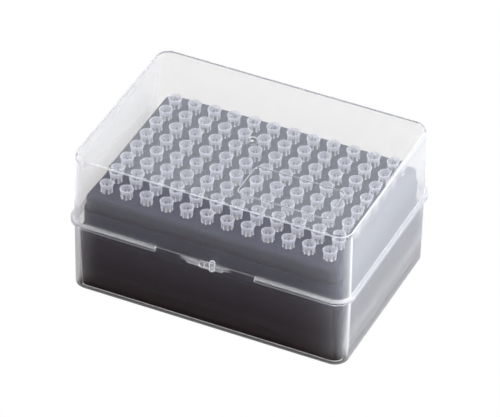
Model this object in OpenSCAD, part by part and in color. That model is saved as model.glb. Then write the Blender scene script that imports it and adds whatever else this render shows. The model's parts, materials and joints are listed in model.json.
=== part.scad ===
// Hinged clear box with a dark rack of 96 long pipette tips.
// X runs along the twelve columns, Y from the catch (front) to the hinge (back),
// Z up from the surface that the box stands on. Lengths are in millimetres.

/* [Box] */
// Width over the walls at the parting line
box_w = 122.8; // [118:0.2:150]
// Depth over the walls at the parting line
box_d = 85.4; // [85:0.2:110]
// Height of the base, from its underside to the parting line
base_h = 33.2; // [30:0.2:40]
// Height of the lid above the parting line
lid_h = 32.6; // [26:0.2:45]
// Outer radius of the upright corners at the parting line
corner_r = 6.4; // [5:0.2:10]
// Thickness of the base's side walls
base_wall = 1.3; // [0.8:0.1:1.8]
// Thickness of the base's floor
floor_t = 1.3; // [0.8:0.1:2]
// Thickness of the lid's side walls
lid_wall = 0.9; // [0.8:0.1:1.8]
// Thickness of the lid's roof
roof_t = 0.9; // [0.8:0.1:2]
// Inward lean of each wall over its height, for release from the mould
draft = 0.3; // [0:0.05:0.5]
// Outer radius round the edge of the underside
base_edge_r = 0.8; // [0.6:0.1:2.5]
// Outer radius round the edge of the lid's top
lid_edge_r = 1; // [0.6:0.1:2.5]
// Inner radius round the edge of the lid's roof
lid_inner_r = 0.6; // [0.3:0.1:2]

/* [Rim] */
// How far the rims stand out from the walls
rim_out = 1.6; // [1:0.1:1.8]
// Height of the base's rim
base_rim_h = 1.3; // [1:0.1:3]
// Height of the lid's rim
lid_rim_h = 0.7; // [0.6:0.1:3]
// Radius of the rims' outer edges
rim_r = 0.5; // [0.2:0.1:0.8]
// Width of the stretch without a rim round the catch
catch_gap_w = 44; // [30:1:60]

/* [Lid top] */
// Width of the raised outline on the lid
outline_w = 40; // [20:1:44]
// Depth of the raised outline
outline_d = 20; // [10:1:22]
// Distance from the lid's middle to the outline's left side
outline_x = 8.7; // [5:0.1:10]
// Distance from the lid's middle to the outline's back side
outline_y = 14.3; // [10:0.1:16]
// Breadth of the raised line
outline_line = 0.6; // [0.4:0.1:1.2]
// Height of the raised line
outline_h = 0.3; // [0.2:0.1:0.5]
// Outer corner radius of the outline
outline_r = 2.6; // [1.5:0.1:4]
// Diameter of the moulding gate's dimple in the middle of the lid
gate_d = 5.6; // [3:0.2:8]
// Depth of the dimple
gate_depth = 0.3; // [0.1:0.05:0.5]
// Diameter of the gate's nib
nib_d = 1.6; // [0.8:0.1:2.4]

/* [Catch] */
// Gap between the base's two catch blocks
catch_slot = 4.8; // [4:0.2:8]
// Length of each catch block along the front
block_w = 5.6; // [4:0.2:8]
// Length of the ramp that leads up to each block
ramp_w = 4; // [2:0.2:6]
// How far the blocks stand out from the wall
block_out = 1.4; // [1.2:0.1:2.6]
// Height of the blocks
block_h = 1.6; // [1.4:0.1:5]
// Height of the ledge over the blocks and ramps
ledge_h = 1.2; // [0.8:0.1:1.8]
// How far the ledge stands out past the blocks
ledge_over = 0.4; // [0.1:0.1:0.6]
// Length of the ledge's straight end, before the ramp
ledge_flat = 1; // [0.5:0.1:2]
// Diameter of the upright nub at the right block's inner end
nub_d = 2.4; // [1.6:0.1:3]
// How far the nub reaches below the blocks
nub_below = 0.2; // [0.2:0.1:1]
// How far the nub's straight part rises above the parting line
nub_above = 2; // [0.4:0.1:2.6]
// How far the lid's prongs hang below the parting line
prong_drop = 2; // [2:0.1:4.5]
// Thickness of the prongs
prong_t = 0.9; // [0.6:0.1:1.2]
// Split between the two prongs
prong_split = 0.5; // [0.3:0.1:1]
// Diameter of the snap bead on the prongs
bead_d = 1; // [0.6:0.1:1.2]
// Clearance between the catch's prongs and the base
catch_clear = 0.25; // [0.2:0.05:0.4]

/* [Hinge] */
// Distance of each hinge from the middle of the back
hinge_x = 30; // [20:1:38]
// Distance of the hinge axis behind the back wall
hinge_out = 2.2; // [2.1:0.1:3]
// Diameter of the hinge pins moulded on the lid
pin_d = 1.8; // [1.2:0.1:2]
// Radial clearance of the pins in the base's ears
pin_clear = 0.06; // [0.04:0.01:0.1]
// Wall of the ears round the pins
ear_wall = 0.9; // [0.7:0.05:1]
// Thickness of each ear
ear_t = 1.8; // [1.2:0.1:3]
// Width of the lid's arm between the ears
arm_w = 5; // [3:0.2:8]
// Side clearance between arm and ears
hinge_gap = 0.3; // [0.2:0.05:0.5]
// Height over which an ear is rooted on the base's wall
ear_root_h = 5; // [3:0.2:8]
// Length of an ear's heel, which stops the opened lid
heel_l = 1; // [0.6:0.1:1.4]
// Space between an ear and the end of the rim beside it
ear_relief = 1.2; // [0.8:0.1:2]
// Wall of the lid's arm round the pins
arm_wall = 0.6; // [0.4:0.05:0.8]
// Angle at which the ears' heels stop the opened lid
open_angle = 110; // [95:1:120]

/* [Rack] */
// Number of tips in a column, along Y
rows = 8; // [2:1:8]
// Height of the rack's plate above the inside of the base's floor
rack_h = 44.4; // [42:0.1:48]
// Thickness of the plate
plate_t = 1.6; // [1.2:0.1:2.4]
// Thickness of the rack's skirt
rack_wall = 1.4; // [1:0.1:1.8]
// Step in from the skirt to the top tier at the sides
tier_in_x = 3; // [1.5:0.1:4]
// Step in from the skirt to the top tier, front and back
tier_in_y = 1.2; // [1:0.1:3]
// Distance from the top tier's sides to the middles of the outer tips
tier_margin_x = 6.9; // [5:0.1:9]
// Distance from the top tier's front and back to the middles of the outer tips
tier_margin_y = 8; // [5:0.1:10]
// Height of the top tier
tier_h = 6.4; // [5:0.1:8]
// Step from the top tier out to the band below it
band_step = 0.9; // [0.5:0.1:1]
// Height of the band
band_h = 6.6; // [5:0.1:8]
// Depth of the groove below the band
groove_in = 0.4; // [0.2:0.1:0.6]
// Height of the groove
groove_h = 4.9; // [3:0.1:6]
// Corner radius of the top tier
tier_r = 4; // [3:0.1:6]
// Radius round the top tier's upper edge
tier_edge_r = 2; // [1:0.1:2.4]
// Radius round the upper edges of the band and the skirt
step_edge_r = 0.6; // [0.3:0.1:0.9]
// Clearance between the rack's skirt and the base's walls
rack_clear = 0.4; // [0.2:0.05:0.8]
// Clearance of a tip in its hole, on the radius
hole_clear = 0.15; // [0.1:0.05:0.3]

/* [Tips] */
// Length of a tip
tip_l = 45.5; // [30:0.5:46]
// Height of the collar that stands above the plate
collar_h = 4.5; // [3:0.1:6]
// Outer diameter of a tip's mouth
mouth_d = 5.8; // [5:0.1:6.4]
// Height of the straight band at the mouth's edge
ring_h = 0.5; // [0.3:0.1:0.8]
// Height of the solid mouth, where it narrows to the fins
mouth_h = 1.9; // [1.2:0.1:2.4]
// Outer diameter of the tube under the mouth
tube_d = 4; // [3.4:0.1:4.4]
// Thickness of the mouth's edge
edge_t = 0.45; // [0.3:0.05:0.6]
// Diameter of the bore below the mouth, where the pipette's cone fits
bore_d = 3.4; // [2.8:0.1:3.4]
// Thickness of the tube's wall
tip_wall = 0.45; // [0.35:0.05:0.6]
// Number of fins round the collar
fins = 8; // [4:1:10]
// Thickness of a fin
fin_t = 0.6; // [0.4:0.05:0.9]
// Diameter over the fins at their feet
fin_d = 5.1; // [4.8:0.1:5.6]
// Length of the socket part below the plate
socket_l = 8; // [5:0.5:12]
// Outer diameter at the socket's end
socket_end_d = 3; // [2.6:0.1:3.3]
// Outer diameter half way down the slim part
shank_d = 1.9; // [1.4:0.1:2.2]
// Outer diameter at the very end
point_d = 0.9; // [0.8:0.05:1.1]
// Bore at the very end
point_bore = 0.4; // [0.3:0.05:0.5]

/* [Hidden] */
smooth = 48;
arc_steps = 5;
// How far a cutting shape runs past what it cuts
cut = 1;

clear_plastic = [0.86, 0.89, 0.92, 0.35];
rack_grey = [0.27, 0.29, 0.33];
tip_plastic = [0.93, 0.94, 0.95, 0.8];

half_w = box_w / 2;
half_d = box_d / 2;
straight_w = box_w - 2 * corner_r;
straight_d = box_d - 2 * corner_r;

// The lid's rim rounds over less than its height
lid_rim_r = min(rim_r, 0.9 * lid_rim_h);

// The hinge: its axis, its pin bore, and how far rims stay away from the ears
axis_y = half_d + hinge_out;
ear_r = pin_d / 2 + pin_clear + ear_wall;
ear_in = arm_w / 2 + hinge_gap;
ear_out = ear_in + ear_t;
stop_gap = 0.05;
hinge_zone = ear_out + ear_relief;

// The catch
block_in = catch_slot / 2;
block_end = block_in + block_w;
ramp_end = block_end + ramp_w;
ledge_out = block_out + ledge_over;

// The rack and its tiers
plate_top = floor_t + rack_h;
skirt_w = box_w - 2 * (base_wall + draft + rack_clear);
skirt_d = box_d - 2 * (base_wall + draft + rack_clear);
skirt_r = corner_r - base_wall - draft;
tier_w = skirt_w - 2 * tier_in_x;
tier_d = skirt_d - 2 * tier_in_y;
band_w = tier_w + 2 * band_step;
band_d = tier_d + 2 * band_step;
groove_w = band_w - 2 * groove_in;
groove_d = band_d - 2 * groove_in;
band_z = plate_top - tier_h;
groove_z = band_z - band_h;
skirt_z = groove_z - groove_h;
hole_d = tube_d + 2 * hole_clear;

// The grid of tips, spread evenly over the plate: 9 mm both ways, as multichannel pipettes need
columns = 12;
pitch_x = (tier_w - 2 * tier_margin_x) / (columns - 1);
pitch_y = (tier_d - 2 * tier_margin_y) / (rows - 1);
tip_x0 = tier_margin_x - tier_w / 2;
tip_y0 = tier_margin_y - tier_d / 2;
mouth_z = plate_top + collar_h;

// Each tip is turned on from the one before by the golden angle, so that no two fins line up
golden_angle = 180 * (3 - sqrt(5));

// Points of an arc round (cx, cy), from angle a to angle b
function arc(cx, cy, r, a, b) =
    [for (i = [0:arc_steps]) let (t = a + (b - a) * i / arc_steps) [cx + r * cos(t), cy + r * sin(t)]];

// ---- Shared shapes ----

// A flat rounded rectangle about the origin
module rounded(w, d, r) {
    square([w - 2 * r, d], center = true);
    square([w, d - 2 * r], center = true);
    for (x = [-1, 1], y = [-1, 1])
        translate([x * (w / 2 - r), y * (d / 2 - r)]) circle(r, $fn = smooth);
}

// A rounded block standing on z
module slab(w, d, r, z, h) {
    translate([0, 0, z]) linear_extrude(h) rounded(w, d, r);
}

// Turns a section, drawn with x outward and y up, into a bar along the side that faces angle a,
// centred on s and len long; the section's x starts at inset from the middle of the box
module side_bar(a, inset, s, len) {
    rotate(a) translate([inset, s + len / 2, 0]) rotate([90, 0, 0]) linear_extrude(len) children();
}

// Turns the same section round the four upright corners
module corners(w, d) {
    for (i = [0:3])
        let (sx = (i == 0 || i == 3) ? 1 : -1, sy = i < 2 ? 1 : -1)
            translate([sx * w / 2, sy * d / 2, 0])
                rotate(90 * i) rotate_extrude(angle = 90, $fn = smooth) children();
}

// ---- Sections of the two shells, with x measured from the corner's axis ----

// The base's wall and floor, with a rim of the given reach
module base_section(rim) {
    polygon(concat(
        [[0, 0]],
        arc(corner_r - draft - base_edge_r, base_edge_r, base_edge_r, -90, 0),
        rim > 0
            ? concat(
                [[corner_r, base_h - base_rim_h]],
                arc(corner_r + rim - rim_r, base_h - base_rim_h + rim_r, rim_r, -90, 0),
                [[corner_r + rim, base_h]])
            : [[corner_r, base_h]],
        [[corner_r - base_wall, base_h], [corner_r - draft - base_wall, floor_t], [0, floor_t]]
    ));
}

// The lid's wall and roof, with a rim of the given reach
module lid_section(rim) {
    top = base_h + lid_h;
    polygon(concat(
        rim > 0
            ? concat(
                [[corner_r + rim, base_h]],
                arc(corner_r + rim - lid_rim_r, base_h + lid_rim_h - lid_rim_r, lid_rim_r, 0, 90),
                [[corner_r, base_h + lid_rim_h]])
            : [[corner_r, base_h]],
        arc(corner_r - draft - lid_edge_r, top - lid_edge_r, lid_edge_r, 0, 90),
        [[0, top], [0, top - roof_t]],
        arc(corner_r - draft - lid_wall - lid_inner_r, top - roof_t - lid_inner_r, lid_inner_r, 90, 0),
        [[corner_r - lid_wall, base_h]]
    ));
}

// Lengths of the front and back sides as [centre, length, rimmed], seen from outside
catch_half = catch_gap_w / 2;
front_runs = [
    [-(straight_w / 2 + catch_half) / 2, straight_w / 2 - catch_half, true],
    [0, catch_gap_w, false],
    [(straight_w / 2 + catch_half) / 2, straight_w / 2 - catch_half, true]
];
back_end = straight_w / 2 - hinge_x - hinge_zone;
back_runs = [
    [-straight_w / 2 + back_end / 2, back_end, true],
    [-hinge_x, 2 * hinge_zone, false],
    [0, 2 * (hinge_x - hinge_zone), true],
    [hinge_x, 2 * hinge_zone, false],
    [straight_w / 2 - back_end / 2, back_end, true]
];

// ---- Base ----

// The moulded tub, without what stands on its walls
module tub() {
    corners(straight_w, straight_d) base_section(rim_out);
    for (a = [0, 180]) side_bar(a, straight_w / 2, 0, straight_d) base_section(rim_out);
    for (run = front_runs)
        side_bar(-90, straight_d / 2, run[0], run[1]) base_section(run[2] ? rim_out : 0);
    for (run = back_runs)
        side_bar(90, straight_d / 2, run[0], run[1]) base_section(run[2] ? rim_out : 0);
    translate([-straight_w / 2, -straight_d / 2, 0]) cube([straight_w, straight_d, floor_t]);
}

// One catch block with the ledge and ramp that lead up to it, on the right of the middle
module catch_block() {
    embed = base_wall / 2;
    translate([block_in, -half_d - block_out, base_h - block_h])
        cube([block_w, block_out + embed, block_h]);
    translate([0, -half_d, base_h - ledge_h]) linear_extrude(ledge_h)
        polygon([[block_in, embed], [block_in, -ledge_out], [block_in + ledge_flat, -ledge_out],
                 [ramp_end, 0], [ramp_end, embed]]);
}

// The upright nub with a domed top at the inner end of the right block
module catch_nub() {
    nub_x = block_in + nub_d / 2;
    nub_y = -half_d - catch_clear - nub_d / 2;
    nub_h = nub_below + block_h + nub_above;
    translate([nub_x, nub_y, base_h + nub_above - nub_h]) {
        cylinder(h = nub_h, d = nub_d, $fn = smooth);
        translate([0, 0, nub_h]) sphere(d = nub_d, $fn = smooth);
    }
}

// Outline of an ear in the plane across the hinge, u behind the wall and v above the parting.
// Its root slants up from the wall, and its heel lies along the opened lid's wall.
module ear_outline() {
    axis = [hinge_out, 0];
    heel_out = hinge_out - stop_gap;
    n = [-cos(open_angle), sin(open_angle)];
    t = [sin(open_angle), cos(open_angle)];
    translate(axis) circle(ear_r, $fn = smooth);
    polygon([[-base_wall / 2, -ear_root_h], axis + [1, -1], axis, [-base_wall / 2, -0.4]]);
    polygon([axis, axis + heel_out * n + t * (ear_r - 0.6), axis + heel_out * n + t * (ear_r + 0.8),
             axis + (heel_out - heel_l) * n + t * (ear_r + 1), axis - n * (ear_r - 0.5)]);
}

// Both ears of one hinge, with the bore for the pins
module ears() {
    for (x = [ear_in, -ear_out])
        translate([x, half_d, base_h]) rotate([90, 0, 90]) linear_extrude(ear_t)
            difference() {
                ear_outline();
                translate([hinge_out, 0]) circle(pin_d / 2 + pin_clear, $fn = smooth);
            }
}

module base() {
    color(clear_plastic) {
        tub();
        for (s = [0, 1]) mirror([s, 0, 0]) catch_block();
        catch_nub();
        for (x = [-hinge_x, hinge_x]) translate([x, 0, 0]) ears();
    }
}

// ---- Lid ----

// The moulded cover, without what stands on its walls
module cover() {
    corners(straight_w, straight_d) lid_section(rim_out);
    for (a = [0, 180]) side_bar(a, straight_w / 2, 0, straight_d) lid_section(rim_out);
    for (run = front_runs)
        side_bar(-90, straight_d / 2, run[0], run[1]) lid_section(run[2] ? rim_out : 0);
    for (run = back_runs)
        side_bar(90, straight_d / 2, run[0], run[1]) lid_section(run[2] ? rim_out : 0);
    translate([-straight_w / 2, -straight_d / 2, base_h + lid_h - roof_t])
        cube([straight_w, straight_d, roof_t]);
}

// The raised outline on the roof
module roof_outline() {
    line_r = outline_r - outline_line;
    translate([outline_x + outline_w / 2, -outline_y - outline_d / 2, base_h + lid_h - roof_t / 2])
        linear_extrude(roof_t / 2 + outline_h)
            difference() {
                rounded(outline_w, outline_d, outline_r);
                rounded(outline_w - 2 * outline_line, outline_d - 2 * outline_line, line_r);
            }
}

// The two prongs that drop between the base's catch blocks; each starts in a slanted gusset
module prongs() {
    prong_w = (catch_slot - prong_split) / 2 - catch_clear;
    far = catch_clear + prong_t;
    gusset_h = lid_rim_h + far / 2;
    for (x = [prong_split / 2, -prong_split / 2 - prong_w])
        translate([x + prong_w, -half_d, base_h]) rotate([90, 0, -90]) linear_extrude(prong_w) {
            polygon([[-lid_wall / 2, catch_clear], [-lid_wall / 2, gusset_h], [far, lid_rim_h - far / 5],
                     [far, -prong_drop], [catch_clear, -prong_drop], [catch_clear, catch_clear]]);
            translate([far, -prong_drop + bead_d / 2]) circle(d = bead_d, $fn = smooth);
        }
}

// The arm of one hinge, with the pins that turn in the ears and end just inside their outer faces
module hinge_arm() {
    arm_r = pin_d / 2 + arm_wall;
    pin_half = ear_out - 0.1;
    translate([-arm_w / 2, half_d, base_h]) rotate([90, 0, 90]) linear_extrude(arm_w) {
        translate([hinge_out, 0]) circle(arm_r, $fn = smooth);
        polygon([[-lid_wall / 2, 0.3], [-lid_wall / 2, lid_rim_h + 0.4], [hinge_out, arm_r - 0.2],
                 [hinge_out, 0]]);
    }
    translate([-pin_half, axis_y, base_h]) rotate([0, 90, 0])
        cylinder(h = 2 * pin_half, d = pin_d, $fn = smooth);
}

module lid() {
    color(clear_plastic) {
        difference() {
            union() {
                cover();
                roof_outline();
            }
            translate([0, 0, base_h + lid_h - gate_depth]) cylinder(h = cut, d = gate_d, $fn = smooth);
        }
        translate([0, 0, base_h + lid_h - roof_t / 2]) cylinder(h = roof_t / 2, d = nib_d, $fn = smooth);
        prongs();
        for (x = [-hinge_x, hinge_x]) translate([x, 0, 0]) hinge_arm();
    }
}

// ---- Rack ----

// A rounded block with a radius round its upper edge
module tier(w, d, r, z, h, edge_r) {
    core_w = w - 2 * r;
    core_d = d - 2 * r;
    module section() {
        polygon(concat([[0, z], [r, z]], arc(r - edge_r, z + h - edge_r, edge_r, 0, 90), [[0, z + h]]));
    }
    corners(core_w, core_d) section();
    for (a = [0, 180]) side_bar(a, core_w / 2, 0, core_d) section();
    for (a = [-90, 90]) side_bar(a, core_d / 2, 0, core_w) section();
    translate([-core_w / 2, -core_d / 2, z]) cube([core_w, core_d, h]);
}

// A place for each tip
module each_tip() {
    for (i = [0:columns - 1], j = [0:rows - 1])
        translate([tip_x0 + i * pitch_x, tip_y0 + j * pitch_y, 0]) children();
}

module tip_rack() {
    color(rack_grey) difference() {
        union() {
            tier(tier_w, tier_d, tier_r, band_z, tier_h, tier_edge_r);
            tier(band_w, band_d, tier_r, groove_z, band_h, step_edge_r);
            slab(groove_w, groove_d, tier_r - groove_in, skirt_z, groove_h);
            tier(skirt_w, skirt_d, skirt_r, floor_t, skirt_z - floor_t, step_edge_r);
        }
        slab(tier_w - 2 * rack_wall, tier_d - 2 * rack_wall, tier_r - rack_wall,
             floor_t - cut, plate_top - plate_t - floor_t + cut);
        slab(skirt_w - 2 * rack_wall, skirt_d - 2 * rack_wall, skirt_r - rack_wall,
             floor_t - cut, skirt_z - rack_wall - floor_t + cut);
        each_tip() translate([0, 0, plate_top - plate_t - cut])
            cylinder(h = plate_t + 2 * cut, d = hole_d, $fn = smooth);
    }
}

// ---- Tips ----

// Half section of a tip, r outward and z down from the mouth
module tip_section() {
    socket_z = collar_h + socket_l;
    shank_z = (socket_z + tip_l) / 2;
    polygon([
        [mouth_d / 2, 0], [mouth_d / 2, -ring_h], [fin_d / 2, -mouth_h], [tube_d / 2, -mouth_h],
        [tube_d / 2, -collar_h - plate_t], [socket_end_d / 2, -socket_z], [shank_d / 2, -shank_z],
        [point_d / 2, -tip_l], [point_bore / 2, -tip_l], [shank_d / 2 - tip_wall, -shank_z],
        [socket_end_d / 2 - tip_wall, -socket_z], [tube_d / 2 - tip_wall, -collar_h - plate_t],
        [bore_d / 2, -mouth_h], [mouth_d / 2 - edge_t, 0]
    ]);
}

// One tip with its ring of fins, turned by the given angle; each fin runs from the plate up into
// the solid mouth, and is rooted in the tube's wall
module tip(turn) {
    fin_in = tube_d / 2 - tip_wall / 2;
    fin_h = collar_h - mouth_h + tip_wall / 2;
    rotate(turn) {
        rotate_extrude($fn = smooth) tip_section();
        for (k = [0:fins - 1])
            rotate(k * 360 / fins) translate([fin_in, -fin_t / 2, -collar_h])
                cube([fin_d / 2 - fin_in, fin_t, fin_h]);
    }
}

// One column of tips; each tip sits in its hole at its own angle
module tips_column(i) {
    color(tip_plastic) for (j = [0:rows - 1])
        translate([tip_x0 + i * pitch_x, tip_y0 + j * pitch_y, mouth_z])
            tip((i * rows + j) * golden_angle);
}

base();
lid();
tip_rack();
tips_column(0);  // tips_column_01
tips_column(1);  // tips_column_02
tips_column(2);  // tips_column_03
tips_column(3);  // tips_column_04
tips_column(4);  // tips_column_05
tips_column(5);  // tips_column_06
tips_column(6);  // tips_column_07
tips_column(7);  // tips_column_08
tips_column(8);  // tips_column_09
tips_column(9);  // tips_column_10
tips_column(10);  // tips_column_11
tips_column(11);  // tips_column_12
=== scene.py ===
# %% [markdown]
# # A box of pipette tips
# The object is a hinged clear box with a dark rack inside, and 96 clear tips that stand in the rack.
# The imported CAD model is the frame: it gives every size and place. Each piece that shows is then
# worked out again with numpy as a smooth surface, so that its small radii catch the light as
# moulded plastic does, and it stands for the CAD node of the same place.

# %% Load the frame
import json
import math

import bmesh
import bpy
import numpy as np
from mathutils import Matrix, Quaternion, Vector


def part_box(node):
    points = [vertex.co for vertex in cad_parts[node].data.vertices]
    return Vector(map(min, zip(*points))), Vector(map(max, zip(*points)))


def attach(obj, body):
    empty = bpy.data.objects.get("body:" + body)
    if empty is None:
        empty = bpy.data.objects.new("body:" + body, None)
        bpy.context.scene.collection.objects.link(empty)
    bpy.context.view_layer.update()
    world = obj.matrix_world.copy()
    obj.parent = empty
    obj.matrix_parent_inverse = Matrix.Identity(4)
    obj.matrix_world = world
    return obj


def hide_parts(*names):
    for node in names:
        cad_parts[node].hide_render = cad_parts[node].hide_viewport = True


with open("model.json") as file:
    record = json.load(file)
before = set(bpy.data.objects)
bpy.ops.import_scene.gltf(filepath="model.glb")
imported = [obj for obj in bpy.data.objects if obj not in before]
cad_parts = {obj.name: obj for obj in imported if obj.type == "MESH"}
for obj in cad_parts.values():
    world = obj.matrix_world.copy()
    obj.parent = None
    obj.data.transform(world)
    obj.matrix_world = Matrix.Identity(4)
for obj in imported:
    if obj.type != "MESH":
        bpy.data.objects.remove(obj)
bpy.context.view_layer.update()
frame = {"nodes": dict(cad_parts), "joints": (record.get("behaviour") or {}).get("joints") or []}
MM = 0.001

# %% [markdown]
# ## Sizes
# The frame gives the outer boxes of the nodes. The walls, radii and clearances below are those that
# such mouldings have, in millimetres, and everything else is worked out from them and the boxes.

# %% Sizes from the frame


def box_mm(node):
    """Lowest and highest corner of a CAD node as two arrays in millimetres."""
    low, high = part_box(node)
    return np.array(low) / MM, np.array(high) / MM


rim_out, outline_h, rack_gap = 1.6, 0.3, 2.0
base_high, lid_high = box_mm("base")[1], box_mm("lid")[1]
rack_low, rack_high = box_mm("tip_rack")
hinge_axis = np.array(frame["joints"][0]["pos_m"]) / MM
parting = hinge_axis[2]
top = lid_high[2] - outline_h
skirt_half = rack_high[:2].copy()
half_w = base_high[0] - rim_out
half_d = skirt_half[1] + rack_gap
print(f"parting at {parting:.2f}, lid top at {top:.2f}, half sizes {half_w:.2f} and {half_d:.2f} mm")

# %% [markdown]
# ## From arrays to a mesh
# Every surface here is a grid: rows of points along a profile, columns along a path. One function
# numbers its quads, and one puts points and quads into a mesh, merges points that coincide at the
# seams, and turns all faces outwards. Plain boxes with a Bevel modifier would be quicker, but a
# profile gives each radius its own size.

# %% Grids of quads


def quads(rows, cols, wrap_rows=False, wrap_cols=False):
    """Numbers the quads of a grid of rows x cols points; a wrapped direction closes on itself."""
    r = np.arange(rows if wrap_rows else rows - 1)
    c = np.arange(cols if wrap_cols else cols - 1)
    r, c = np.meshgrid(r, c, indexing="ij")
    r2, c2 = (r + 1) % rows, (c + 1) % cols
    corners = [r * cols + c, r2 * cols + c, r2 * cols + c2, r * cols + c2]
    return np.stack(corners, -1).reshape(-1, 4)


def part(points, faces, haze_and_painted_light=0.0, run=0.0):
    """One surface: its points in mm, its quads, and two looks, each a number or a table of the
    grid's shape. The first is an even haze plus painted light: a painted glow on the clear plastic,
    and painted shade on the rack. Run is a painted glow that grows where the eye looks along it."""
    points = points.reshape(-1, 3)
    looks = np.zeros((len(points), 2))
    looks[:, 0], looks[:, 1] = np.ravel(haze_and_painted_light), np.ravel(run)
    return points, faces, looks


def join(parts):
    """Puts several surfaces into one, with the quads renumbered."""
    points, faces, looks = zip(*parts)
    starts = np.cumsum([0] + [len(p) for p in points[:-1]])
    return np.vstack(points), np.vstack([f + start for f, start in zip(faces, starts)]), np.vstack(looks)


print("a grid of 3 x 4 points has", len(quads(3, 4)), "quads")

# %% One mesh object from closed surfaces


def piece(name, parts, material):
    """Makes one mesh object. Points closer than a micrometre are merged, faces point outwards,
    and edges sharper than 35 degrees stay sharp. The two looks, haze with painted light and the
    painted glow run, become attributes of the points."""
    points, faces, looks = join(parts)
    mesh = bpy.data.meshes.new(name)
    mesh.vertices.add(len(points))
    mesh.vertices.foreach_set("co", (points * MM).astype(np.float32).ravel())
    mesh.loops.add(faces.size)
    mesh.loops.foreach_set("vertex_index", faces.ravel().astype(np.int32))
    mesh.polygons.add(len(faces))
    mesh.polygons.foreach_set("loop_start", np.arange(0, faces.size, 4, dtype=np.int32))
    mesh.update(calc_edges=True)
    for column, look in enumerate(("haze_and_painted_light", "run")):
        values = mesh.attributes.new(look, "FLOAT", "POINT").data
        values.foreach_set("value", looks[:, column].astype(np.float32))
    bm = bmesh.new()
    bm.from_mesh(mesh)
    bmesh.ops.remove_doubles(bm, verts=bm.verts, dist=1e-6)
    bmesh.ops.dissolve_degenerate(bm, edges=bm.edges, dist=1e-7)
    bmesh.ops.recalc_face_normals(bm, faces=bm.faces)
    open_edges = sum(not e.is_manifold for e in bm.edges)
    bm.to_mesh(mesh)
    bm.free()
    mesh.shade_smooth()
    mesh.set_sharp_from_angle(angle=math.radians(35))
    mesh.materials.append(material)
    obj = bpy.data.objects.new(name, mesh)
    bpy.context.scene.collection.objects.link(obj)
    triangles = sum(len(p.vertices) - 2 for p in mesh.polygons)
    print(f"{name}: {len(mesh.vertices)} points, {triangles} triangles, {open_edges} open edges")
    return obj


# %% Small curves


def smooth_step(x, low, high):
    """Rises from 0 at low to 1 at high, flat at both ends: 3t^2 - 2t^3."""
    t = np.clip((x - low) / (high - low), 0, 1)
    return t * t * (3 - 2 * t)


def arc(cx, cy, r, a, b, n=8):
    """Points of an arc round (cx, cy) from angle a to angle b in degrees."""
    t = np.radians(np.linspace(a, b, n + 1))
    return np.stack([cx + r * np.cos(t), cy + r * np.sin(t)], -1)


def peak(steps, at, half):
    """A column of 1 at the share at of an arc's length, fading to 0 over half on both sides."""
    return np.clip(1 - np.abs(np.linspace(0, 1, steps) - at) / half, 0, 1)[:, None]


def stack_rows(width, *blocks):
    """Stacks blocks of rows into one table; a block of one column is repeated across the width."""
    return np.vstack([np.broadcast_to(block, (len(block), width)) for block in blocks])


print("a quarter arc in 2 steps:", arc(0, 0, 1, 0, 90, 2).round(2).tolist())

# %% [markdown]
# ## Materials
# Clear plastic is mostly what stands round it: the shader is a smooth dielectric with the index of
# polypropylene, plus a little haze, because the crystals in this plastic scatter some light. Lamps
# shine straight through it, as they nearly do through a wall one millimetre thick. Plain glass would
# be simpler, but it has no white edges, which here are a painted glow, and throws hard shadows.

# %% Colour and node helpers


def hex_colour(code):
    """sRGB hex such as "#8090A0" to a linear RGBA tuple."""
    c = np.array([int(code[i : i + 2], 16) for i in (1, 3, 5)]) / 255
    c = np.where(c <= 0.04045, c / 12.92, ((c + 0.055) / 1.055) ** 2.4)
    return (*c.tolist(), 1.0)


def node(tree, kind, sockets=None, **settings):
    """Adds a shader node. Settings are the node's own; sockets maps the name or number of an input
    to its plain value, or to the output that feeds it, where a node stands for its first output."""
    n = tree.nodes.new("ShaderNode" + kind)
    for key, value in settings.items():
        setattr(n, key, value)
    for key, value in (sockets or {}).items():
        if isinstance(value, (bpy.types.Node, bpy.types.NodeSocket)):
            tree.links.new(getattr(value, "outputs", [value])[0], n.inputs[key])
        else:
            n.inputs[key].default_value = value
    return n


def new_material(name):
    """An empty node material and its tree."""
    m = bpy.data.materials.new(name)
    m.use_nodes = True
    m.node_tree.nodes.clear()
    return m, m.node_tree


plastic_ior = 1.49
print("mid grey #808080 is", round(hex_colour("#808080")[0], 3), "in linear light")

# %% Clear moulded polypropylene


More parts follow.
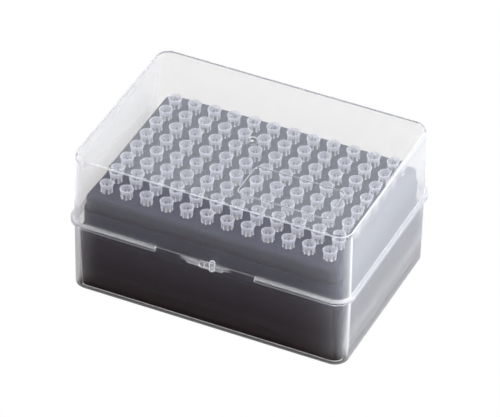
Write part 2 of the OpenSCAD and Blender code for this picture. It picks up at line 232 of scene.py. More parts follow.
def clear_polypropylene(name, haze, slant_power, even_haze, tint="#FCFBFA", roughness=0.03,
                        through="#F2F2F3", cloud_colour="#EFF1F5"):
    """Gloss-moulded clear polypropylene. Facing is 0 seen square on and 1 seen along the surface:
    share of haze = clamp(haze x facing^slant_power + even_haze) + edge, where edge is the painted
    glow, clamp(run x facing^2 + the first look, haze with painted light). The rest is a smooth
    dielectric. Lamps shine through in the colour called through."""
    m, t = new_material(name)
    where = node(t, "TexCoord").outputs["Object"]
    flow = node(t, "TexNoise", {"Vector": where, "Scale": 1 / (14 * MM), "Detail": 3.0})
    rough = node(t, "MapRange", {"Value": flow, "To Min": roughness * 0.6, "To Max": roughness * 1.4})
    body = node(t, "BsdfPrincipled", {"Roughness": rough, "IOR": plastic_ior,
                                      "Base Color": hex_colour(tint), "Transmission Weight": 1.0})
    facing = node(t, "LayerWeight", {"Blend": 0.5}).outputs["Facing"]
    rise = node(t, "Math", {0: facing, 1: slant_power}, operation="POWER")
    share = node(t, "Math", {0: rise, 1: haze, 2: even_haze}, operation="MULTIPLY_ADD", use_clamp=True)
    haze_and_painted_light, run = (node(t, "Attribute", attribute_name=look).outputs["Fac"] for look in ("haze_and_painted_light", "run"))
    along = node(t, "Math", {0: facing, 1: facing}, operation="MULTIPLY")
    edge = node(t, "Math", {0: run, 1: along, 2: haze_and_painted_light}, operation="MULTIPLY_ADD", use_clamp=True)
    whole = node(t, "Math", {0: share, 1: edge}, operation="ADD", use_clamp=True)
    # The painted glow also paints the haze whiter, from the cloud colour towards #FAFBFE.
    # Inputs 6 and 7 of a colour mix are its two colours.
    white = node(t, "Mix", {"Factor": edge, 6: hex_colour(cloud_colour), 7: hex_colour("#FAFBFE")},
                 data_type="RGBA").outputs[2]
    cloud = node(t, "BsdfTranslucent", {"Color": white})
    veil = node(t, "BsdfDiffuse", {"Color": white})
    scatter = node(t, "MixShader", {"Fac": 0.5, 1: cloud, 2: veil})
    plastic = node(t, "MixShader", {"Fac": whole, 1: body, 2: scatter})
    clear = node(t, "BsdfTransparent", {"Color": hex_colour(through)})
    to_lamp = node(t, "LightPath").outputs["Is Shadow Ray"]
    skin = node(t, "MixShader", {"Fac": to_lamp, 1: plastic, 2: clear})
    node(t, "OutputMaterial", {"Surface": skin})
    return m


# %% The three clear finishes

# Clear polypropylene from a polished mould: glass with a breath of haze, whiter where it slants away.
lid_plastic = clear_polypropylene("clear_polypropylene_lid", haze=1.0, slant_power=3.5, even_haze=0.03)
# The same plastic in the base's thicker wall: clear seen square on, and soon milky at a slant.
base_plastic = clear_polypropylene("clear_polypropylene_base", haze=2.2, slant_power=5.0, even_haze=0.0)
# Natural polypropylene, with nothing added to clear it: the tips look frosted and a little blue.
tip_plastic = clear_polypropylene(
    "natural_polypropylene_tips", haze=0.3, slant_power=3.5, even_haze=0.05, tint="#F8F8F8",
    roughness=0.05, through="#E6E7E8", cloud_colour="#DADFEB")
print("clear finishes:", [m.name for m in (lid_plastic, base_plastic, tip_plastic)])

# %% [markdown]
# The rack is the same plastic with dark pigment, from a finely spark-eroded mould: satin, with soft
# reflections. A cloudy mix of two blue greys keeps large faces from looking painted, and recesses
# are painted darker as painted shade, for the little light that gets between rack and wall.

# %% Dark moulded polypropylene for the rack


def dark_polypropylene(name):
    """Dark blue-grey polypropylene: cloud x two greys, with painted shade: the point attribute, which
    on the rack says how deep in a recess a point lies, darkens the colour towards near black. Grit
    of half a millimetre is coarser than the real grain, so that it shows."""
    m, t = new_material(name)
    where = node(t, "TexCoord").outputs["Object"]
    cloud = node(t, "TexNoise", {"Vector": where, "Scale": 1 / (18 * MM), "Detail": 4.0})
    colour = node(t, "Mix", {"Factor": cloud, 6: hex_colour("#343A48"), 7: hex_colour("#3F4657")},
                  data_type="RGBA").outputs[2]
    # Painted shade: the deeper in a recess, the nearer the colour is to #0C0C0F.
    depth = node(t, "Attribute", attribute_name="haze_and_painted_light").outputs["Fac"]
    painted_recess_shade = node(t, "Mix", {"Factor": depth, 6: colour, 7: hex_colour("#0C0C0F")}, data_type="RGBA")
    grain = node(t, "TexNoise", {"Vector": where, "Scale": 1 / (0.5 * MM), "Detail": 2.0})
    bump = node(t, "Bump", {"Height": grain, "Strength": 0.03, "Distance": 0.05 * MM})
    body = node(t, "BsdfPrincipled", {"Base Color": painted_recess_shade.outputs[2], "Normal": bump, "Roughness": 0.5,
                                      "IOR": plastic_ior, "Specular IOR Level": 0.2})
    node(t, "OutputMaterial", {"Surface": body})
    return m


rack_plastic = dark_polypropylene("dark_polypropylene_rack")
print("dark finish:", rack_plastic.name)

# %% [markdown]
# ## The moulded shells
# Base and lid are each one moulding with a nearly even wall. The shape is a flat rectangular core
# with rounded surroundings: each profile point lies a distance d outside the core's edge, and at a
# corner the direction turns through 90 degrees about the core's corner. So the point is
# core point + d x outward direction, and the corner's radius is simply d.

# %% Cut lines and the path round the core

corner_r, draft = 6.4, 0.3
core_w, core_d = half_w - corner_r, half_d - corner_r
near = (-0.4, -0.15, 0.0, 0.15, 0.4)


def lines(half, step, keys, spread):
    """Sorted cut lines from -half to half: an even step, and five close lines round each key."""
    even = np.linspace(-half, half, 2 * int(math.ceil(half / step)) + 1)
    close = (np.array(keys, float)[:, None] + np.array(spread)[None, :]).ravel()
    close = close[np.abs(close) < half - 0.02]
    far = np.min(np.abs(even[:, None] - close[None, :]), 1, initial=np.inf) > 0.05
    far[[0, -1]] = True
    return np.unique(np.round(np.hstack([even[far], close]), 5))


def core_path(xs, ys, turns=18):
    """Walks the core's edge anticlockwise from the front left corner. Gives each step's point on
    the edge and its outward direction; at a corner the point stays while the direction turns."""
    x0, x1, y0, y1 = xs[0], xs[-1], ys[0], ys[-1]
    sides = [(xs, y0, 0, -90), (ys, x1, 1, 0), (xs[::-1], y1, 0, 90), (ys[::-1], x0, 1, 180)]
    points, angles = [], []
    for along, fixed, axis, angle in sides:
        other = np.full_like(along, fixed)
        side = np.stack([along, other] if axis == 0 else [other, along], -1)
        points += [side, np.repeat(side[-1:], turns - 1, 0)]
        angles += [np.full(len(along), float(angle)), angle + np.arange(1, turns) * 90.0 / turns]
    angles = np.radians(np.hstack(angles))
    return np.vstack(points), np.stack([np.cos(angles), np.sin(angles)], -1)


print(f"core {2 * core_w:.1f} x {2 * core_d:.1f} mm, corners {corner_r} mm")

# %% Surfaces round and across the core


def swept(edge, normal, out, z, haze_and_painted_light=0.0, run=0.0, ring=False):
    """The surface round the core: point = edge + out x outward direction, at height z. out and z
    have a row for each profile point and a column for each step of the path; a ring's last row
    joins its first."""
    xy = edge[None] + out[..., None] * normal[None]
    z = np.broadcast_to(z, out.shape)[..., None]
    return part(np.concatenate([xy, z], -1), quads(*out.shape, ring, wrap_cols=True), haze_and_painted_light, run)


def swept_bands(edge, normal, bands):
    """The same from bands of rows that follow each other, each given as (out, z, milk, run)."""
    return swept(edge, normal, *(stack_rows(len(edge), *blocks) for blocks in zip(*bands)))


def sheet(xs, ys, height, haze_and_painted_light=0.0):
    """The core's flat surface as a grid on the same cut lines. Height and milk are each a number,
    or a function of x and y."""
    x, y = np.meshgrid(xs, ys, indexing="ij")
    z, haze_and_painted_light = (value(x, y) if callable(value) else np.full_like(x, value) for value in (height, haze_and_painted_light))
    return part(np.stack([x, y, z], -1), quads(len(xs), len(ys)), haze_and_painted_light)


catch_gap, hinge_x, hinge_zone = 22.0, 30.0, 5.8
catch_keys = [side * x for side in (1, -1) for x in (catch_gap, 2.4, 3.4, 8.0, 12.0)]
hinge_keys = [side * hinge_x + end for side in (1, -1) for end in (-hinge_zone, hinge_zone)]
xs = lines(core_w, 6, catch_keys + hinge_keys, near)
ys = lines(core_d, 6, [], near)
print(len(xs), "cut lines along the front,", len(ys), "along a side")

# %% [markdown]
# ### Rims
# Where the two halves meet, each has a rim that stands out and stiffens the edge. It stops in front,
# round the catch, and behind, round the two hinges. The rim is a reach added to the wall: full
# inside its height and length, and falling to nothing over a fraction of a millimetre at its ends.

# %% Reach of the rims

rim_r = 0.5


def rim_mask(edge, normal):
    """1 where the rims run and 0 round the catch and the hinges."""
    x = np.abs(edge[:, 0])
    at_catch = (normal[:, 1] < -0.99) * (1 - smooth_step(x, catch_gap - 0.02, catch_gap + 0.13))
    from_hinge = np.abs(x - hinge_x)
    at_hinge = (normal[:, 1] > 0.99) * (1 - smooth_step(from_hinge, hinge_zone - 0.1, hinge_zone + 0.7))
    return 1 - at_catch - at_hinge


def rim_profile(z, low, high, round_top):
    """Reach at height z of a rim from low to high. Its top or bottom end is a quarter circle of
    radius r: reach = rim_out - r + sqrt(r^2 - depth^2), with the depth past the circle's centre."""
    depth = z - (high - rim_r) if round_top else (low + rim_r) - z
    u = np.clip(depth / rim_r, 0, 1)
    reach = rim_out - rim_r + rim_r * np.sqrt(1 - u * u)
    return np.where((z >= low - 1e-6) & (z <= high + 1e-6), reach, 0.0)


print(f"rims run along {rim_mask(*core_path(xs, ys)).mean():.0%} of the steps round")

# %% [markdown]
# ### Painted glow at the edges
# Light that enters a clear wall runs along inside it and leaves where the surface bends: at rims,
# corners and rounded edges. Tracing that light needs very many samples, so each shell carries two
# looks instead, a haze with painted light and a painted glow called run, and the bends are painted
# with the glow that trapped light gives them. The bright surroundings stand on the right and
# behind, so the painted glow grows that way.

# %% Painted glow of walls, corners and rims

# Strengths of the painted glow lines up the upright corners.
painted_line_glow, painted_turn_glow, painted_left_glow = 2.2, 0.8, 3.0


def front_corners(normal):
    """The share t of a front corner's turn, 0 in front and 1 at the side, and where left and right
    corners are: t = angle between the direction and the front / 90 degrees."""
    t = np.degrees(np.arctan2(np.abs(normal[:, 0]), -normal[:, 1])) / 90
    return t, (normal[:, 0] < -1e-6) & (t < 0.999), (normal[:, 0] > 1e-6) & (t < 0.999)


def painted_corner_glow(normal, start, full):
    """Painted glow of the upright front corners. On the right it rises with the share of the turn from
    start to 0.36; on the left it is 0.06 and rises by full between shares 0.1 and 0.3."""
    t, left, right = front_corners(normal)
    rising = np.interp(t, [0, 0.25, 0.5, 0.7, 1], [start, start + 0.04, 0.17, 0.25, 0.36])
    return right * rising + left * (0.06 + full * smooth_step(t, 0.1, 0.3))


def painted_corner_slant_glow(normal, at, half, left):
    """Painted glow (run) of the upright corners, the sum of three: two painted highlight lines up
    each right corner, at degrees from its flat walls and fading over half; the whole turn of the
    front corners, risen over 20 degrees; and left x more in the left front corner, risen over the
    first third of its turn."""
    turn = np.degrees(np.arctan2(normal[:, 1], normal[:, 0])) % 90
    turn = np.minimum(turn, 90 - turn)
    lines_up = np.clip(1 - np.abs(turn - at) / half, 0, 1) * (normal[:, 0] > 0)
    in_turn = smooth_step(turn, 0, 20) * (normal[:, 1] < 0)
    t, on_left, _ = front_corners(normal)
    in_left = painted_left_glow * smooth_step(t, 0.05, 0.35) * on_left
    return painted_line_glow * lines_up + painted_turn_glow * in_turn + left * in_left


def painted_front_glow(edge, normal, right, left):
    """Painted glow of the flat front beside its corners: it falls by a factor e with each 8 mm from the
    right one and each 2 mm from the left one."""
    beside = right * np.exp((edge[:, 0] - core_w) / 8) + left * np.exp((-edge[:, 0] - core_w) / 2)
    return (normal[:, 1] < -0.99) * beside


def painted_rim_glow(edge, normal):
    """Painted glow of the rims: most on the lit right side, and at their cut ends beside the catch."""
    cut_end = (np.abs(np.abs(edge[:, 0]) - catch_gap - 0.15) < 0.16) & (normal[:, 1] < -0.99)
    to_right, to_left = np.clip(normal[:, 0], 0, 1), np.clip(-normal[:, 0], 0, 1)
    return 0.16 + 0.24 * to_right + 0.15 * to_left + 0.4 * cut_end


print("milk of the rims, at most:", painted_rim_glow(*core_path(xs, ys)).max().round(2))

# %% [markdown]
# ## The lid
# The real lid is a deep cover, thinner than the base, with a rounded edge round its roof. A raised
# outline marks the place for a label, and a small dimple with a nib is where the plastic was
# injected. All of it is one profile carried round the core and two sheets that close it. A bevelled
# solid would give the same form, but no hold on the painted glow of each bend.

# %% Raised outline and gate mark

outline_w, outline_d, outline_x, outline_y = 40.0, 20.0, 8.7, 14.3
outline_line, outline_r = 0.6, 2.6
gate_r, gate_depth, nib_r = 2.8, 0.12, 0.7
# An even haze on the roof, and painted highlights on the raised line and the nib.
roof_haze, painted_outline_highlight, painted_nib_highlight = 0.055, 0.3, 0.7


def outline_distance(x, y):
    """Distance from the middle of the raised line, a rounded rectangle: the length of what lies
    outside its inner rectangle, minus the corner's radius."""
    r = outline_r - outline_line / 2
    hx, hy = (outline_w - outline_line) / 2 - r, (outline_d - outline_line) / 2 - r
    qx = np.abs(x - (outline_x + outline_w / 2)) - hx
    qy = np.abs(y + outline_y + outline_d / 2) - hy
    outside = np.hypot(np.maximum(qx, 0), np.maximum(qy, 0))
    return np.abs(outside + np.minimum(np.maximum(qx, qy), 0) - r)


def roof_height(x, y):
    """The roof's top: flat, plus the raised line, minus the gate's dimple, plus its nib."""
    line = 1 - smooth_step(outline_distance(x, y), outline_line / 2 - 0.2, outline_line / 2 + 0.05)
    r = np.hypot(x, y)
    dimple = 1 - smooth_step(r, gate_r - 0.5, gate_r)
    nib = 1 - smooth_step(r, nib_r - 0.25, nib_r + 0.1)
    return top + outline_h * line - gate_depth * dimple + gate_depth * nib


def roof_haze_and_painted_highlight(x, y):
    """An even haze, plus a painted highlight on the raised line and the nib, where light leaves the plastic.
    """
    line = 1 - smooth_step(outline_distance(x, y), 0.05, outline_line / 2)
    nib = 1 - smooth_step(np.hypot(x, y), nib_r - 0.2, nib_r + 0.2)
    return roof_haze + painted_outline_highlight * line + painted_nib_highlight * nib


def roof_lines(even, start, length):
    """The lid's cut lines one way: the core's, and close ones over the outline and the gate."""
    ends = ((start, 1), (start + length, -1))
    on_line = [end + way * outline_line / 2 + np.arange(-0.5, 0.51, 0.1) for end, way in ends]
    on_corner = [end + way * 1.4 + np.arange(-2.8, 2.81, 0.14) * 0.5 for end, way in ends]
    on_gate = np.arange(-3.2, 3.21, 0.2)
    return np.unique(np.round(np.hstack([even, *on_line, *on_corner, on_gate]), 3))


xs_lid = roof_lines(xs, outline_x, outline_w)
ys_lid = roof_lines(ys, -outline_y - outline_d, outline_d)
print("the roof is a grid of", len(xs_lid), "x", len(ys_lid), "points")

# %% The lid's shell

lid_wall, roof_t, lid_edge, lid_inner = 0.9, 0.9, 1.0, 0.6
lid_rim_h, seat_gap, seat_in = 0.7, 0.02, 0.12
# Strengths of the painted highlight and the painted glow on the lid's rounded edge.
painted_fillet_highlight, painted_back_fillet_highlight, painted_fillet_slant_glow = 0.9, 0.75, 1.5
quarter = 1 - np.cos(np.radians(np.linspace(0, 90, 6)))


def lid_shell():
    """The lid as one closed surface: roof, rounded edge, drafted wall, rim, and back up inside.
    A wall point lies corner_r - draft x its share of the height outside the core."""
    edge, normal = core_path(xs_lid, ys_lid)
    mask = rim_mask(edge, normal)
    rim_top, side = parting + lid_rim_h, corner_r - draft
    fillet = arc(side - lid_edge, top - lid_edge, lid_edge, 90, 0, 14)
    wall_z = np.hstack([
        [top - 3, top - 6, top - 10, parting + 12, rim_top + 0.6, rim_top + 0.02],
        rim_top - rim_r * quarter, [parting + 0.12, parting + seat_gap]])
    wall_d = corner_r - draft * (wall_z - parting) / (top - parting)
    reach = rim_profile(wall_z, parting, rim_top, round_top=True)
    reach[-1] -= seat_in
    inside = side - lid_wall
    inner = np.vstack([
        [corner_r - lid_wall, parting + seat_gap],
        arc(inside - lid_inner, top - roof_t - lid_inner, lid_inner, 0, 90, 6), [0, top - roof_t]])

    # Painted highlight on the rounded edge: behind, it sits higher on the edge, and on the right it
    # fades towards the back.
    fade = np.interp(edge[:, 1] * (normal[:, 0] > 0), [0, core_d], [0.8, 0.12])
    on_fillet = np.where(normal[:, 1] > 0.5, painted_back_fillet_highlight * peak(len(fillet), 0.42, 0.3),
                         painted_fillet_highlight * peak(len(fillet), 0.7, 0.3) * fade)
    # Painted glow on the wall beside its corners and on the rims, and on the right the wall is
    # painted whiter downwards over 5 mm.
    right_wall = 0.11 * (normal[:, 0] > 0.99) * (1 - np.exp((wall_z[:, None] - top) / 5))
    front_wall = 0.02 * (normal[:, 1] < -0.99) + painted_front_glow(edge, normal, 0.065, 0.1)
    on_wall = painted_corner_glow(normal, 0.01, 0.05) + front_wall + right_wall
    in_rim = (wall_z <= rim_top + 0.03)[:, None]
    shell = swept_bands(edge, normal, [
        ([[0]], [[top]], [[roof_haze]], [[0]]),
        (fillet[:, :1], fillet[:, 1:], on_fillet, painted_fillet_slant_glow * peak(len(fillet), 0.5, 0.7)),
        (wall_d[:, None] + reach[:, None] * mask, wall_z[:, None],
         np.where(in_rim, painted_rim_glow(edge, normal) * mask + 0.03, on_wall),
         np.where(in_rim, 0, painted_corner_slant_glow(normal, 12, 6, 0.3))),
        (inner[:, :1], inner[:, 1:], 0 * inner[:, :1], 0 * inner[:, :1])])
    return [shell, sheet(xs_lid, ys_lid, roof_height, roof_haze_and_painted_highlight), sheet(xs_lid, ys_lid, top - roof_t)]


lid_parts = lid_shell()
print("lid shell:", len(join(lid_parts)[0]), "points before merging")

# %% [markdown]
# ## The base
# The base is a tub with a thicker wall. Its rim turns down instead of up, and in front two low
# blocks with a ledge between them and the rim take the lid's catch. Blocks and ledge are only a
# reach again, so they grow out of the wall without a seam, as they do in a mould. Separate blocks
# set against the wall would leave a dark line round them in clear plastic.

# %% The catch's blocks

base_wall, floor_t, base_edge, base_rim_h = 1.3, 1.3, 0.8, 1.3
block_in, block_end, ramp_end = 2.4, 8.0, 12.0
block_out, block_h, ledge_h, ledge_over = 1.4, 1.6, 1.2, 0.4


def catch_reach(x, z):
    """Reach of the two catch blocks, and of the ledge over them that ramps down to the wall."""
    a = np.abs(x)
    along = smooth_step(a, block_in - 0.08, block_in + 0.08)
    block = block_out * along * (1 - smooth_step(a, block_end - 0.08, block_end + 0.08))
    block = block * (z > parting - block_h - 1e-6)
    ramp = np.clip((ramp_end - a) / (ramp_end - block_in - 1), 0, 1)
    ledge = (block_out + ledge_over) * along * ramp * (z > parting - ledge_h - 1e-6)
    return np.maximum(block, ledge)


print(f"the catch reaches {catch_reach(np.array([3.0]), parting)[0]:.1f} mm out of the wall")

# %% The base's shell


def base_shell():
    """The base as one closed surface: floor, rounded edge, drafted wall, rim and catch, and down
    inside. Reach = the larger of the rim's and the catch's."""
    edge, normal = core_path(xs, ys)
    mask = rim_mask(edge, normal)
    front, side, step = normal[:, 1] < -0.99, corner_r - draft, 0.02
    fillet = arc(side - base_edge, base_edge, base_edge, -90, 0, 8)
    rim_low = parting - base_rim_h
    wall_z = np.unique(np.round(np.hstack([
        [8, 20, parting - block_h - 0.6, parting - block_h - step, parting - block_h, rim_low - 0.4,
         rim_low - step], rim_low + rim_r * quarter,
        [parting - ledge_h - step, parting - ledge_h, parting - 0.12, parting]]), 4))
    wall_d = corner_r - draft * (1 - wall_z / parting)
    rim_reach = rim_profile(wall_z, rim_low, parting, round_top=False)[:, None] * mask
    catch = catch_reach(edge[:, 0], wall_z[:, None]) * front
    reach = np.maximum(rim_reach, catch)
    reach[-1] = np.maximum(reach[-1] - seat_in, 0)
    inner = np.array([[corner_r - base_wall, parting], [side - base_wall, floor_t + 0.4],
                      [side - base_wall - 0.12, floor_t + 0.12], [side - base_wall - 0.4, floor_t],
                      [0, floor_t]])

    # Painted light: front and right wall are painted whiter upwards, and rims and catch get the
    # strongest painted glow.
    up = wall_z[:, None] / parting
    on_wall = (painted_front_glow(edge, normal, 0.09, 0.15) + painted_corner_glow(normal, 0.0, 0.2)
               + 0.08 * (normal[:, 0] > 0.99) * up ** 2 + front * (0.003 + 0.055 * up ** 1.3))
    on_rim, on_catch = np.clip(rim_reach / 0.5, 0, 1), np.clip(catch / 0.5, 0, 1)
    rim_fade = np.interp(wall_z, [rim_low, parting], [0.4, 1.0])[:, None]
    on_edge = np.maximum(0.3 * painted_rim_glow(edge, normal) * on_rim * rim_fade, 0.45 * on_catch)
    shell = swept_bands(edge, normal, [
        ([[0]], [[0]], [[0]], [[0]]),
        # The rounded bottom edge gets a faint painted glow.
        (fillet[:, :1], fillet[:, 1:], 0.08 * peak(len(fillet), 0.5, 0.5), 0.2 * peak(len(fillet), 0.7, 0.6)),
        (wall_d[:, None] + reach, wall_z[:, None], on_wall + on_edge,
         painted_corner_slant_glow(normal, 13, 10, 1.0) * (1 - on_rim)),
        (inner[:, :1], inner[:, 1:], 0 * inner[:, :1], 0 * inner[:, :1])])
    return [shell, sheet(xs, ys, 0.0), sheet(xs, ys, floor_t)]


base_parts = base_shell()
print("base shell:", len(join(base_parts)[0]), "points before merging")

# %% [markdown]
# ### The catch's nub and the hinge's ears
# The nub is a small post with a round top, so it is a profile turned about its own axis. An ear is a
# flat plate with a bore. Seen from the bore's axis it hides nothing of its own edge, so its outline is
# a distance for each angle: the farthest crossing of that ray with the circle and the slanting root.

# %% The nub

nub_r, nub_below, nub_above, catch_clear = 1.2, 0.2, 2.0, 0.25


def post(x, y, profile, haze_and_painted_light, run, steps=32):
    """A profile of (radius, height) points turned about the upright axis at (x, y)."""
    a = np.linspace(0, 2 * math.pi, steps, endpoint=False)
    r, z = profile[:, :1], profile[:, 1:] + 0 * a
    points = np.stack([x + r * np.cos(a), y + r * np.sin(a), z], -1)
    return part(points, quads(len(profile), steps, wrap_cols=True), haze_and_painted_light, run)


nub_foot = parting - block_h - nub_below
nub_profile = np.vstack([[0, nub_foot], [nub_r - 0.2, nub_foot], [nub_r, nub_foot + 0.2],
                         arc(0, parting + nub_above, nub_r, 0, 90, 8)])
# The nub gets a painted glow, strongest where the eye looks along it.
nub = post(block_in + nub_r, -half_d - catch_clear - nub_r, nub_profile, haze_and_painted_light=0.14, run=1.3)
print(f"nub {2 * nub_r} mm thick and {nub_profile[-1, 1] - nub_foot:.1f} mm tall")

# %% Outlines as a distance for each angle

turn_steps = np.linspace(0, 2 * math.pi, 96, endpoint=False)


def cross(a, b):
    """The flat cross product a_x b_y - a_y b_x."""
    return a[..., 0] * b[..., 1] - a[..., 1] * b[..., 0]


def ray_reach(polygons, radius):
    """Distance from the origin to the outermost edge at each step: the largest of the circle's
    radius and every crossing t of the ray t(cos a, sin a) with an edge p + s(q - p), 0 <= s <= 1."""
    ray = np.stack([np.cos(turn_steps), np.sin(turn_steps)], -1)[:, None]
    reach = np.full(len(turn_steps), float(radius))
    for polygon in polygons:
        p = np.array(polygon, float)
        d = np.roll(p, -1, 0) - p
        slope = cross(ray, d)
        slope = np.where(np.abs(slope) < 1e-9, 1e-9, slope)
        t, s = cross(p, d) / slope, cross(p, ray) / slope
        hit = (s > -1e-6) & (s < 1 + 1e-6) & (t > 0)
        reach = np.maximum(reach, np.where(hit, t, 0).max(1))
    return reach


def across(rows, haze_and_painted_light, wrap):
    """A surface round the hinge axis from rows of (x, distances): each row lies at its x, its
    points at y = axis + distance x cos and z = axis + distance x sin of the steps' angles."""
    reach = np.stack([distances for _, distances in rows])
    x = np.broadcast_to(np.array([x for x, _ in rows])[:, None], reach.shape)
    y = hinge_axis[1] + reach * np.cos(turn_steps)
    z = hinge_axis[2] + reach * np.sin(turn_steps)
    return part(np.stack([x, y, z], -1), quads(*reach.shape, wrap_rows=wrap, wrap_cols=True), haze_and_painted_light)


print("an outline has", len(turn_steps), "points")

# %% The ears

hinge_out = hinge_axis[1] - half_d
pin_r, pin_clear, ear_wall, ear_t, arm_w, hinge_gap = 0.9, 0.06, 0.9, 1.8, 5.0, 0.3
ear_root_h, heel_l, open_angle, soft = 5.0, 1.0, math.radians(110), 0.15
ear_bore_r = pin_r + pin_clear
ear_r = ear_bore_r + ear_wall
ear_in, ear_out = arm_w / 2 + hinge_gap, arm_w / 2 + hinge_gap + ear_t
root_y = -hinge_out - 0.15

# The heel stops the open lid's wall: it stands square to the direction that the wall then has.
heel_n = np.array([-math.cos(open_angle), math.sin(open_angle)])
heel_t = np.array([math.sin(open_angle), math.cos(open_angle)])
heel_out = hinge_out - 0.05
root = [[root_y, -ear_root_h], [1, -1], [0, 0], [root_y, -0.4]]
heel = [[0, 0], heel_out * heel_n + heel_t * (ear_r - 0.6), heel_out * heel_n + heel_t * (ear_r + 0.8),
        (heel_out - heel_l) * heel_n + heel_t * (ear_r + 1), -heel_n * (ear_r - 0.5)]
ear_reach = ray_reach([root, heel], ear_r)


def ear(x0, x1):
    """A plate from x0 to x1: out along one face, over the rounded edge, back, and through the bore."""
    bore = np.full_like(ear_reach, ear_bore_r)
    rows = [(x0, bore), (x0, ear_reach - soft), (x0 + soft, ear_reach), (x1 - soft, ear_reach),
            (x1, ear_reach - soft), (x1, bore)]
    # Ears get an even painted glow.
    return across(rows, haze_and_painted_light=0.25, wrap=True)


ears = [ear(side * hinge_x + min(end), side * hinge_x + max(end))
        for side in (-1, 1) for end in ((ear_in, ear_out), (-ear_in, -ear_out))]
print(len(ears), f"ears, bore {2 * ear_bore_r:.2f} mm for a pin of {2 * pin_r:.2f} mm")

# %% The finished base
base = piece("clear_base", base_parts + [nub] + ears, base_plastic)
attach(base, "base")
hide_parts("base")

# %% [markdown]
# ### The catch's prongs and the hinge's arms
# Two thin prongs hang from the lid's front edge and snap behind the slot between the catch blocks. A
# prong is a rounded rectangle carried down its length, whose front swells into a bead at the end. An
# arm and its pins share one axis, so they are again distances from it, row by row along the pin.

# %% The prongs

prong_split, prong_t, prong_drop, bead_r = 0.5, 0.9, 2.0, 0.5
prong_w = (2 * block_in - prong_split) / 2 - catch_clear


def prong(x0, x1):
    """A rounded rectangle at each height v: its back is straight, its front is the prong's
    thickness plus the bead sqrt(r^2 - h^2), and the first and last rows close to a point."""
    far = catch_clear + prong_t
    shoulder, gusset_z, bead_z = lid_rim_h - far / 5, lid_rim_h + 0.1, bead_r - prong_drop
    v = np.hstack([
        -prong_drop, -prong_drop, bead_z + bead_r * np.sin(np.radians(np.arange(-80, 91, 17))),
        -0.9, catch_clear - 0.01, catch_clear, shoulder, gusset_z, gusset_z])
    front = far + np.sqrt(np.maximum(bead_r ** 2 - (v - bead_z) ** 2, 0))
    front = np.where(v > shoulder + 1e-6, 0.15, front)
    back = np.where(v >= catch_clear, -0.1, catch_clear)
    round_r = np.minimum(0.15, (front - back) / 3)
    open_row = np.arange(len(v)) % (len(v) - 1) != 0
    ring = arc(0, 0, 1, 0, 360, 32)[:-1]
    corner = np.sign(np.round(ring, 6))
    half = np.stack([np.full_like(v, (x1 - x0) / 2), (front - back) / 2], -1)
    xy = corner * (half - round_r[:, None])[:, None] + ring * round_r[:, None, None]
    xy = xy * open_row[:, None, None]
    points = np.stack([(x0 + x1) / 2 + xy[..., 0], -half_d - (front + back)[:, None] / 2 - xy[..., 1],
                       parting + v[:, None] + 0 * xy[..., 0]], -1)
    # Above the seam the prong is buried in the rim, so only what hangs below it gets a painted glow.
    hangs = (v <= 0.3)[:, None] + 0 * xy[..., 0]
    return part(points, quads(len(v), 32, wrap_cols=True), 0.03 + 0.17 * hangs, hangs)


prong_ends = [(-prong_split / 2 - prong_w, -prong_split / 2), (prong_split / 2, prong_split / 2 + prong_w)]
prongs = [prong(x0, x1) for x0, x1 in prong_ends]
print(len(prongs), f"prongs, each {prong_w:.2f} mm wide")

# %% The hinge's arms

arm_r, pin_half = pin_r + 0.6, ear_out - 0.1
arm_polygon = [[root_y, 0.3], [root_y, lid_rim_h + 0.4], [0, arm_r - 0.2], [0, 0]]
arm_reach = ray_reach([arm_polygon], arm_r)


def hinge_arm(x):
    """The pin's end, the pin, the arm with its soft edges, and the other pin, as rows along x."""
    pin, none = np.full_like(arm_reach, pin_r), np.zeros_like(arm_reach)
    half = [(pin_half, none), (pin_half, pin - 0.2), (pin_half - 0.2, pin), (arm_w / 2, pin),
            (arm_w / 2, arm_reach - soft), (arm_w / 2 - soft, arm_reach)]
    rows = [(x - d, r) for d, r in half] + [(x + d, r) for d, r in half[::-1]]
    # Arm and pins get an even painted glow.
    return across(rows, haze_and_painted_light=0.25, wrap=False)


arms = [hinge_arm(side * hinge_x) for side in (-1, 1)]
print(len(arms), f"arms with pins {2 * pin_half:.1f} mm long")

# %% The finished lid
lid = piece("clear_lid", lid_parts + prongs + arms, lid_plastic)
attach(lid, "lid")
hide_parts("lid")

# %% [markdown]
# ## The tips
# A tip is one moulding: a flared mouth with a rounded ring, eight fins under it, a tube, and a long
# taper to the point. It is a profile turned about the tip's own axis, whose radius swells at each
# fin, so fins and tube are one skin. Eight tips make a column, as a multichannel pipette takes them.
# Real tips stand turned at random; the golden angle turns each one differently without any chance.

# %% Sizes of a tip

fins, rows_of_tips = 8, 8
golden_angle = 180 * (3 - math.sqrt(5))
mouth_r, ring_h, mouth_h = 2.9, 0.5, 1.9
tube_r, bore_r, fin_r, fin_t = 2.0, 1.7, 2.55, 0.6
tip_wall, edge_t = 0.45, 0.45
collar_h, plate_t = 4.5, 1.6
socket_l, socket_r, shank_r, point_r, point_bore_r = 8.0, 1.5, 0.95, 0.45, 0.2
fin_half = math.degrees(math.asin(fin_t / 2 / fin_r))
print(f"a fin is {fin_t} mm thick, which is {2 * fin_half:.1f} of {360 / fins:.0f} degrees")

# %% One tip


